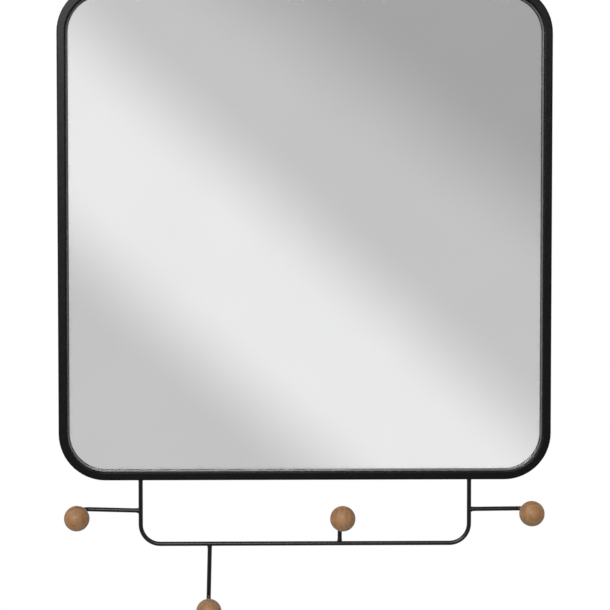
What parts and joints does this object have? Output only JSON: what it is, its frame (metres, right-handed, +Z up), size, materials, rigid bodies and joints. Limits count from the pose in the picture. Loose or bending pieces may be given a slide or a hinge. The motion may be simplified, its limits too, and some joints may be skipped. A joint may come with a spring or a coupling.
{
  "type": "mirror with hooks",
  "caption": "Square wall mirror in a thin black metal frame with rounded corners, with a bent-rod rack of wooden-ball hooks hanging below it.",
  "frame": {"origin": "in the wall plane, midway between the round entries of the two keyholes in the back", "axes": "+X to the right as seen from the front, +Y into the wall, +Z up; the mirror faces -Y"},
  "size_m": [0.5, 0.0702, 0.6399],
  "materials": {
    "black_coat": "satin black powder coat",
    "lip_coat": "satin dark grey, thinly coated steel strip",
    "mirror": "silvered float glass",
    "foam": "white foam tape",
    "fibreboard": "raw brown fibreboard",
    "zinc": "zinc-plated sheet steel",
    "wood": "turned hardwood, matt oil",
    "brass": "plain brass"
  },
  "bodies": {
    "root": {"frame_tube": "black_coat", "retaining_lip": "lip_coat", "mirror_glass": "mirror", "tape_strips": "foam", "backing_board": "fibreboard", "board_clip_right_upper": "zinc", "board_clip_right_lower": "zinc", "board_clip_top_left": "zinc", "board_clip_top_right": "zinc", "board_clip_left_lower": "zinc", "board_clip_left_upper": "zinc", "board_clip_bottom_right": "zinc", "board_clip_bottom_left": "zinc", "clip_screws": "zinc", "hanger_plate_left": "black_coat", "hanger_plate_right": "black_coat", "rack_rod": "black_coat", "rack_weld_left": "black_coat", "rack_weld_right": "black_coat", "hook_arm_left": "black_coat", "arm_weld_left": "black_coat", "ball_left": "wood", "ball_insert_left": "brass", "hook_arm_right": "black_coat", "arm_weld_right": "black_coat", "ball_right": "wood", "ball_insert_right": "brass", "hook_arm_middle": "black_coat", "arm_weld_middle": "black_coat", "ball_middle": "wood", "ball_insert_middle": "brass", "hook_arm_bottom": "black_coat", "arm_weld_bottom": "black_coat", "ball_bottom": "wood", "ball_insert_bottom": "brass"}
  },
  "joints": []
}
